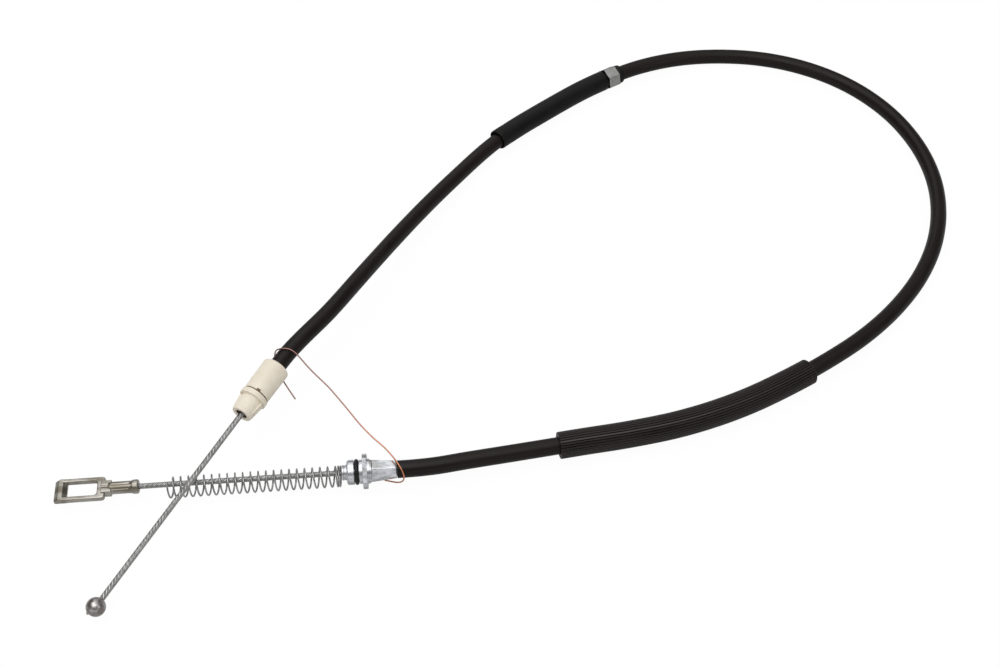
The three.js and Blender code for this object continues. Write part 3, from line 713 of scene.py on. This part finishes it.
def fittingFlange():
    shape = bmesh.new()
    start, end, radius = fitting["flangeStart"], fitting["flangeEnd"], fitting["flangeRadius"]
    revolve(shape, [(start, 0), (start, radius), (end, radius), (end, 0)], 72)
    turn = math.radians(fitting["flangeTurn"] - 90)
    across = Vector((0, math.cos(turn), math.sin(turn)))
    for side in (-1, 1):
        everything = shape.verts[:] + shape.edges[:] + shape.faces[:]
        cut = bmesh.ops.bisect_plane(shape, geom=everything, plane_co=across * fitting["flangeFlat"] * side,
                                     plane_no=across * side, clear_outer=True)["geom_cut"]
        bmesh.ops.contextual_create(shape, geom=onlyEdges(cut))
    bmesh.ops.recalc_face_normals(shape, faces=shape.faces[:])
    softenEdges(shape, 0.4, 3, 28)
    return shape


def fittingCrimp():
    shape = bmesh.new()
    start, end = fitting["shoulderEnd"], fitting["crimpEnd"]
    front, rear = fitting["crimpFront"], fitting["crimpRear"]
    revolve(shape, [(start - 1.3, 0), (start - 1.3, front - 0.9), (start + 0.1, front + 0.1),
                    (start + 1.6, front), (end - 0.5, rear + 0.05), (end, rear - 0.45), (end, 0)], 6)
    softenEdges(shape, 0.55, 4, 28)
    turnAround(shape, shape.verts[:], fitting["crimpTurn"])
    return shape


def makeFitting():
    shape = fittingBody()
    joinShapes(shape, fittingFlange())
    joinShapes(shape, fittingCrimp())
    return finishPiece("backplateFitting", shape, eyeLine, looks["fitting"], "casing",
                       ["backplate_fitting"])


makeFitting()

# Rubber ring in the fitting's groove
sealRing = {"middle": 9.85, "radius": 7.25, "section": 1.5}


def makeSealRing():
    shape = bmesh.new()
    corners = []
    for i in range(20):
        angle = i * math.pi / 10
        corners.append((sealRing["middle"] + sealRing["section"] * math.cos(angle),
                        sealRing["radius"] + sealRing["section"] * math.sin(angle)))
    revolve(shape, corners, 72)
    markSection(shape)
    return finishPiece("sealRing", shape, eyeLine, looks["ring"], "casing", ["o_ring"],
                       weighted=False)


makeSealRing()

# Ball cast on the rope, with a faint parting line and a small nub on its far side
ball = {"middle": -160.6, "radius": 6.25, "hole": 2.15, "lip": 0.35, "parting": 0.07,
        "nub": (-0.832, 0.458, -0.307), "nubRadius": 1.05, "nubLength": 0.95}


def makeBall():
    shape = bmesh.new()
    radius, hole, lip = ball["radius"], ball["hole"], ball["lip"]
    first = math.asin((hole + lip) / radius)
    corners = []
    for i in range(33):
        angle = (math.pi - first) * i / 32
        corners.append((ball["middle"] - radius * math.cos(angle), radius * math.sin(angle)))
    corners += [(ball["middle"] + radius * math.cos(first) - lip, hole), (ball["middle"] + 2, hole)]
    corners.append((ball["middle"] + 2, 0))
    revolve(shape, corners, 56)
    for vert in shape.verts:
        away = vert.co - Vector((ball["middle"], 0, 0))
        if away.length > radius - 0.3 and abs(away.z - 0.35 * away.y) < 0.35:
            vert.co += away.normalized() * ball["parting"]
    nub = bmesh.new()
    nubRadius, nubLength = ball["nubRadius"], ball["nubLength"]
    revolve(nub, [(radius - 0.6, 0), (radius - 0.6, nubRadius + 0.3), (radius, nubRadius + 0.1),
                  (radius + nubLength - 0.3, nubRadius), (radius + nubLength, nubRadius - 0.3),
                  (radius + nubLength, 0)], 20)
    aim = Vector(ball["nub"]).to_track_quat("X", "Z").to_matrix().to_4x4()
    nub.transform(Matrix.Translation((ball["middle"], 0, 0)) @ aim)
    joinShapes(shape, nub)
    return finishPiece("ball", shape, ballLine, looks["ball"], "ball_side", ["ball_end"],
                       weighted=False)


ballPiece = makeBall()

# Plastic bush, along its axis from the nose
bush = {
    "tipRadius": 6.9, "noseFront": 7.4, "noseRoot": 7.7, "noseLength": 13.1, "bore": 4.2, "boreDepth": 12.0,
    "ringEnd": 16.8, "ringRadius": 9.95, "grooveRadius": 9.0, "bodyStart": 17.9, "bodyFront": 9.45,
    "bodyRear": 9.8, "length": 43.5, "rounding": 1.9, "socket": 6.3, "socketDepth": 9.0,
    "slotTurn": 24.0, "slotLength": 1.7, "slotWidth": 2.9, "slotDepth": 1.3,
    "wingStart": 1.8, "wingEnd": 13.0, "wingRadius": 8.9, "wingWidth": 4.6,
}


def bushBody():
    shape = bmesh.new()
    length, rear, rounding = bush["length"], bush["bodyRear"], bush["rounding"]
    rounded = []
    for i in range(6):
        angle = math.pi / 2 * i / 5
        rounded.append((length + rounding * (math.sin(angle) - 1), rear + rounding * (math.cos(angle) - 1)))
    revolve(shape, [
        (bush["boreDepth"], 2.3), (bush["boreDepth"], bush["bore"]), (0.5, bush["bore"]),
        (0, bush["bore"] + 0.5), (0, bush["tipRadius"]), (0.8, bush["noseFront"]),
        (4, bush["noseFront"] + 0.3), (bush["noseLength"], bush["noseRoot"]),
        (bush["noseLength"], bush["ringRadius"] - 0.3), (bush["noseLength"] + 0.3, bush["ringRadius"]),
        (bush["ringEnd"] - 0.2, bush["ringRadius"]), (bush["ringEnd"], bush["ringRadius"] - 0.2),
        (bush["ringEnd"], bush["grooveRadius"]), (bush["bodyStart"], bush["grooveRadius"]),
        (bush["bodyStart"], bush["bodyFront"] - 0.2), (bush["bodyStart"] + 0.25, bush["bodyFront"]),
        *rounded, (length, bush["socket"]), (length - bush["socketDepth"], bush["socket"]),
        (length - bush["socketDepth"], 2.3),
    ], 80)
    # faces in the bore and in the groove behind the ring take the painted shade material
    for face in shape.faces:
        middle = face.calc_center_median()
        away = math.hypot(middle.y, middle.z)
        inBore = middle.x < bush["boreDepth"] + 0.1 and away < bush["bore"] + 0.05
        inGroove = bush["ringEnd"] + 0.05 < middle.x < bush["bodyStart"] - 0.05 and away > bush["socket"]
        if inBore or inGroove:
            face.material_index = 1
    return shape


def bushWings():
    shape = bmesh.new()
    for side in (-1, 1):
        start, end, half = bush["wingStart"], bush["wingEnd"], bush["wingWidth"] / 2
        corners = [(start, bush["noseFront"] - 0.6), (start, bush["noseFront"] + 0.15),
                   (end - 2.0, bush["wingRadius"]), (end, bush["wingRadius"]), (end, bush["noseRoot"] - 0.6)]
        pushOutline(shape, [(x, side * y, -half) for x, y in corners], (0, 0, 2 * half))
    bmesh.ops.recalc_face_normals(shape, faces=shape.faces[:])
    softenEdges(shape, 0.3, 3, 28)
    return shape


# Small recess in the front of the body, at its ring: a block sunk into the body, all its faces in painted
# shade
def bushSlot():
    shape = bmesh.new()
    length, width, depth = bush["slotLength"], bush["slotWidth"], bush["slotDepth"]
    made = bmesh.ops.create_cube(shape, size=1)["verts"]
    bmesh.ops.scale(shape, vec=(length, width, depth), verts=made)
    middle = (bush["bodyStart"] + length / 2 - 0.4, 0, bush["bodyFront"] - depth / 2 + 0.06)
    bmesh.ops.translate(shape, vec=middle, verts=made)
    turnAround(shape, made, bush["slotTurn"])
    softenEdges(shape, 0.15, 2, 30)
    for face in shape.faces:
        face.material_index = 1
    return shape


def makeBush():
    shape = bushBody()
    joinShapes(shape, bushWings())
    joinShapes(shape, bushSlot())
    # the second material is painted shade in the bush's recesses
    return finishPiece("bracketBush", shape, ballLine, [looks["bush"], looks["bore"]], "casing",
                       ["bracket_bush"])


bracketBush = makeBush()

# Ribbed guard on the casing
guard = {"start": 111.3, "length": 192.0, "radius": 9.35, "bore": 6.4, "ribs": 32, "ribDepth": 0.6}


def makeGuard():
    shape = bmesh.new()
    length, radius, bore = guard["length"], guard["radius"], guard["bore"]
    corners = [(0.0, radius - 0.35), (0.35, radius)]
    corners += [(x, radius) for x in evenly(0.35, length - 0.35, 3.0)[1:-1]]
    corners += [(length - 0.35, radius), (length, radius - 0.35)]
    corners += [(x, bore) for x in evenly(length, 0, 24.0)]
    revolve(shape, corners, guard["ribs"] * 8)
    for vert in shape.verts:
        away = math.hypot(vert.co.y, vert.co.z)
        if away < bore + 0.2:
            continue
        valley = max(0, -math.cos(guard["ribs"] * math.atan2(vert.co.z, vert.co.y))) ** 1.4
        scale = 1 - guard["ribDepth"] * valley / away
        vert.co.y *= scale
        vert.co.z *= scale
    markSection(shape)
    bendAlong(shape, casingPath, guard["start"])
    return finishPiece("ribbedGuard", shape, unmoved, looks["guard"], "casing",
                       ["ribbed_guard"], weighted=False)


ribbedGuard = makeGuard()

# Smooth sleeve on the casing, with a rim, a neck for the band, and a loose mouth at its other end
sleeve = {"start": 880.9, "length": 132.4, "radius": 8.2, "bore": 6.45, "neck": 7.15, "rim": 7.6,
          "neckStart": 4.0, "neckEnd": 16.0, "mouthBore": 7.25, "mouthDepth": 14.0, "mouthLift": 0.65}


def makeSleeve():
    shape = bmesh.new()
    length, radius, bore = sleeve["length"], sleeve["radius"], sleeve["bore"]
    corners = [(0.0, bore), (0.0, sleeve["rim"] - 0.7), (0.35, sleeve["rim"] - 0.2), (0.9, sleeve["rim"]),
               (2.6, sleeve["rim"]), (sleeve["neckStart"], sleeve["neck"])]
    corners += [(x, sleeve["neck"]) for x in evenly(sleeve["neckStart"], sleeve["neckEnd"], 3.0)[1:]]
    corners += [(17.0, radius - 0.15), (18.2, radius)]
    corners += [(x, radius) for x in evenly(18.2, length - 0.8, 3.0)[1:]]
    corners += [(length - 0.3, radius - 0.12), (length, radius - 0.5), (length, sleeve["mouthBore"])]
    corners += [(x, sleeve["mouthBore"]) for x in evenly(length, length - sleeve["mouthDepth"], 3.0)[1:]]
    corners += [(x, bore) for x in evenly(length - sleeve["mouthDepth"] - 2, 0, 9.0)[:-1]]
    revolve(shape, corners, 56)
    markSection(shape)
    for vert in shape.verts:
        share = min(max((vert.co.x - length + sleeve["mouthDepth"]) / sleeve["mouthDepth"], 0), 1)
        vert.co.z += sleeve["mouthLift"] * share * share * (3 - 2 * share)
    bendAlong(shape, casingPath, sleeve["start"])
    return finishPiece("smoothSleeve", shape, unmoved, looks["sleeve"], "casing",
                       ["smooth_sleeve"], weighted=False)


smoothSleeve = makeSleeve()

# Six-sided metal band round the sleeve's neck
band = {"fromEnd": 10.2, "width": 10.4, "inner": 8.6, "wall": 0.6, "turn": 12.0}


def makeBand():
    shape = bmesh.new()
    half, inner, outer = band["width"] / 2, band["inner"], band["inner"] + band["wall"]
    revolve(shape, [(-half, inner), (-half, outer), (half, outer), (half, inner)], 6)
    turnAround(shape, shape.verts[:], band["turn"])
    lengthwise = [edge for edge in shape.edges if abs(edge.verts[0].co.x - edge.verts[1].co.x) > half]
    softenEdges(shape, 0.9, 5, 28, lengthwise)
    softenEdges(shape, 0.12, 2, 50)
    return finishPiece("bandClamp", shape, casingPath.at(sleeve["start"] + band["fromEnd"]), looks["band"],
                       "casing", ["band_clamp"])


bandClamp = makeBand()


def ropeCord(line, reach):
    start, end = reach
    path = [line @ Vector((x, 0, 0)) for x in evenly(end, start, rope["cordStep"])]


ropeCord(eyeLine, rope["eyeSide"])
ropeCord(ballLine, rope["ballSide"])


# Pale floor and soft studio light
studio = {"ambient": 0.62, "floor": 0.6, "floorGlow": 0.92, "glow": 1.04, "floorSize": 6.0,
          "floorDrop": 0.0002, "mirrored": 0.25, "skyTop": 1.25, "skyMiddle": 0.24, "skyEdge": 0.34,
          "skyFront": 0.6}


# How far a ray shows the bare backdrop: whole for the camera, less for mirror images in metal
def seenDirectly(look):
    names = ("Is Camera Ray", "Is Glossy Ray", "Is Transmission Ray")
    rays = [look.node("LightPath", output=name) for name in names]
    total = rays[0] + (rays[1] + rays[2]) * studio["mirrored"]
    return look.node("Clamp", None, {0: total})


def makeFloor():
    shape = bmesh.new()
    bmesh.ops.create_grid(shape, x_segments=1, y_segments=1, size=studio["floorSize"] / 2)
    bmesh.ops.translate(shape, vec=(0, 0, -studio["floorDrop"]), verts=shape.verts[:])
    mesh = bpy.data.meshes.new("floor")
    shape.to_mesh(mesh)
    shape.free()
    floor = bpy.data.objects.new("floor", mesh)
    bpy.context.scene.collection.objects.link(floor)
    look = Look("floorPaper", roughness=0.9, specularLevel=0.0)
    look.set("Base Color", (studio["floor"], studio["floor"], studio["floor"], 1))
    glow = look.node("Emission", None, {"Color": (1, 1, 1, 1), "Strength": studio["glow"]})
    painted = Signal(look, look.shader.outputs[0])
    mixed = look.node("MixShader", None, {0: seenDirectly(look) * studio["floorGlow"], 1: painted, 2: glow})
    look.tree.links.new(mixed.socket, look.tree.nodes["Material Output"].inputs["Surface"])
    mesh.materials.append(look.material)


class Sky(Look):
    def __init__(self):
        world = bpy.data.worlds.new("studio")
        world.use_nodes = True
        bpy.context.scene.world = world
        self.tree = world.node_tree
        self.shader = self.tree.nodes["Background"]


def makeSky():
    sky = Sky()
    ahead, height = sky.axes(sky.node("TexCoord", output="Generated"))[1:]
    low = sky.between(height, 0.05, 0.45, studio["skyEdge"], studio["skyMiddle"])
    facing = sky.between(ahead, -0.25, -0.85, 0.0, studio["skyFront"])
    front = facing * sky.between(height, 0.2, 0.6, 1.0, 0.0)
    dome = low + front + sky.between(height, 0.6, 0.97, 0.0, studio["skyTop"] - studio["skyMiddle"])
    glossy = sky.node("LightPath", output="Is Glossy Ray")
    camera = sky.node("LightPath", output="Is Camera Ray")
    strength = dome * glossy + (1 - glossy) * (camera * (1 - studio["ambient"]) + studio["ambient"])
    sky.set("Color", (1, 1, 1, 1))
    sky.set("Strength", strength)


def addLamp(name, place, size, watts):
    data = bpy.data.lights.new(name, "AREA")
    data.size = size
    data.energy = watts
    lamp = bpy.data.objects.new(name, data)
    lamp.location = place
    aim = Vector((0, 0, 0)) - Vector(place)
    lamp.rotation_euler = aim.to_track_quat("-Z", "Y").to_euler()
    bpy.context.scene.collection.objects.link(lamp)


makeFloor()
makeSky()
addLamp("keyLamp", (-0.45, -0.15, 1.5), 1.5, 9.0)
addLamp("backLamp", (-0.3, 1.3, 1.2), 1.2, 4.0)
addLamp("sideLamp", (1.3, -0.9, 1.1), 0.7, 2.5)
bpy.context.scene.view_settings.view_transform = "Standard"
print("cable: studio made")
